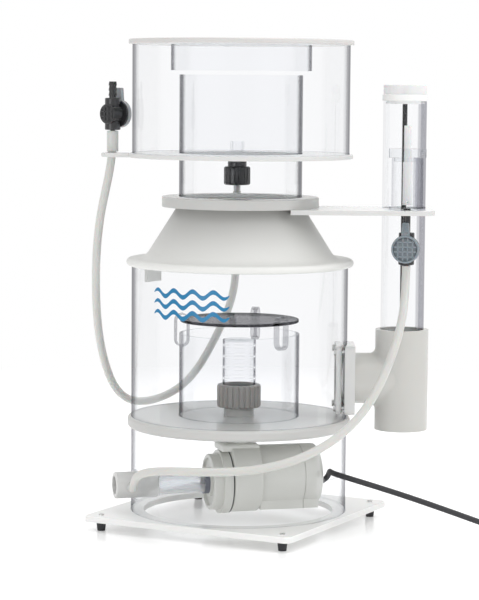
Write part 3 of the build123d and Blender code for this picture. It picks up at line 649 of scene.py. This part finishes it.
def tap_details():
    """Ribs on the knobs, levers and backs of both taps, and the dark fields under the knobs' ribs."""
    for tap, look, parent in (("drain_tap", "tap_grey", "cup"), ("air_tap", "tap_blue", "skimmer")):
        axes = tap_frame(tap)
        inner = 0.1 * MM
        field = [(inner, FIELD_LOW), (FIELD_R, FIELD_LOW), (FIELD_R, FIELD_LOW + FIELD_T),
                 (inner, FIELD_LOW + FIELD_T)]
        piece(tap + "_knob_field", *moved(lathe(field, 64), axes), "tap_field", tap, look)
        face = joined([knob_face(FIELD_LOW + 0.05 * MM, FIELD_R + 0.1 * MM), lever_ribs(LEVER_FACE)])
        piece(tap + "_knob_ribs", *moved(face, axes), look, tap, look)
        back = knob_face(0.0, BACK_R)
        flipped = axes @ Matrix.Translation((0, 0, BACK_Z)) @ Matrix.Rotation(math.pi, 4, "X")
        piece(tap + "_back_ribs", *moved(back, flipped), "black_plastic", parent, "black_plastic")


dress_nodes()
threaded_rod()
glue_beads()
water_mark()
tap_details()


# ---- studio ---------------------------------------------------------------------------------------
def floor_material():
    """A pale glossy floor that fades to plain white before it reaches the horizon."""
    s = Shader("studio_floor")
    place = s.add("ShaderNodeTexCoord").outputs["Object"]
    far = s.add("ShaderNodeVectorMath", {0: place}, operation="LENGTH").outputs["Value"]
    fade = s.add("ShaderNodeMapRange", {"Value": far, "From Min": 0.75, "From Max": 1.8}).outputs[0]
    paint = s.add("ShaderNodeBsdfPrincipled", {
        "Base Color": (0.95, 0.95, 0.95, 1.0),
        "Roughness": s.math("ADD", 0.16, s.math("MULTIPLY", s.noise(3.0, 2.0), 0.05)),
    }).outputs[0]
    # Painted shade: the floor's white glow is weaker within 0.36 m of the middle, darkening the floor round
    # and under the object.
    glow_with_painted_shade = s.add("ShaderNodeMapRange", {"Value": far, "From Min": 0.17, "From Max": 0.36,
                                            "To Min": 0.14, "To Max": 0.3}).outputs[0]
    lift = s.add("ShaderNodeEmission", {"Color": (1.0, 1.0, 1.0, 1.0), "Strength": glow_with_painted_shade}).outputs[0]
    near = s.add("ShaderNodeAddShader", {0: paint, 1: lift}).outputs[0]
    glow = s.add("ShaderNodeEmission", {"Color": (1.0, 1.0, 1.0, 1.0), "Strength": 1.0}).outputs[0]
    return s.finish(s.mix_shader(fade, near, glow))


def studio_floor():
    half = 40.0
    mesh = bpy.data.meshes.new("studio_floor")
    corners = [(-half, -half, 0), (half, -half, 0), (half, half, 0), (-half, half, 0)]
    mesh.from_pydata(corners, [], [(0, 1, 2, 3)])
    mesh.materials.append(floor_material())
    made = placed("studio_floor", mesh)
    made.location.z = -0.05 * MM


def soft_light(name, place, target, size, watts):
    lamp = bpy.data.lights.new(name, "AREA")
    lamp.shape = "RECTANGLE"
    lamp.size, lamp.size_y = size
    lamp.energy = watts
    made = placed(name, lamp)
    made.location = place
    made.rotation_euler = (Vector(target) - Vector(place)).to_track_quat("-Z", "Y").to_euler()


def studio_world():
    """White behind the object and in reflections; as light it is brighter from above."""
    world = bpy.data.worlds.new("studio")
    bpy.context.scene.world = world
    s = Shader("studio", world)
    path = s.add("ShaderNodeLightPath")
    seen = s.math("MAXIMUM", path.outputs["Is Camera Ray"], path.outputs["Is Glossy Ray"])
    up = s.upright(s.add("ShaderNodeTexCoord").outputs["Generated"])
    dome = s.add("ShaderNodeMapRange", {"Value": up, "From Min": 0.0, "From Max": 0.9,
                                        "To Min": 0.42, "To Max": 1.05}).outputs[0]
    strength = s.math("MAXIMUM", seen, dome)
    back = s.add("ShaderNodeBackground", {"Color": (1.0, 1.0, 1.0, 1.0), "Strength": strength})
    s.finish(back.outputs[0])


CAMERA_PLACE = (-0.0002, -3.168, 0.6113)
CAMERA_DOWN = 5.357                   # degrees below the horizon
CAMERA_ROLL = 0.443
CAMERA_LENS = 137.4                   # mm, on a 36 mm sensor


def studio_camera():
    lens = bpy.data.cameras.new("camera")
    lens.lens = CAMERA_LENS
    lens.sensor_width = 36.0
    lens.clip_end = 200.0
    camera = placed("camera", lens)
    camera.location = CAMERA_PLACE
    camera.rotation_mode = "ZYX"
    camera.rotation_euler = (math.radians(90 - CAMERA_DOWN), 0, math.radians(CAMERA_ROLL))
    bpy.context.scene.camera = camera


studio_floor()
studio_world()
studio_camera()
soft_light("overhead", (0.5, -0.3, 2.6), (0, 0, 0.3), (2.6, 2.6), 28.0)
soft_light("front_left", (-2.0, -2.6, 0.5), (0, 0, 0.25), (1.4, 0.9), 11.0)
soft_light("right", (2.2, -1.2, 1.5), (0, 0, 0.35), (1.2, 1.2), 10.0)
bpy.context.scene.view_settings.view_transform = "Standard"
bpy.context.scene.cycles.transparent_max_bounces = 64
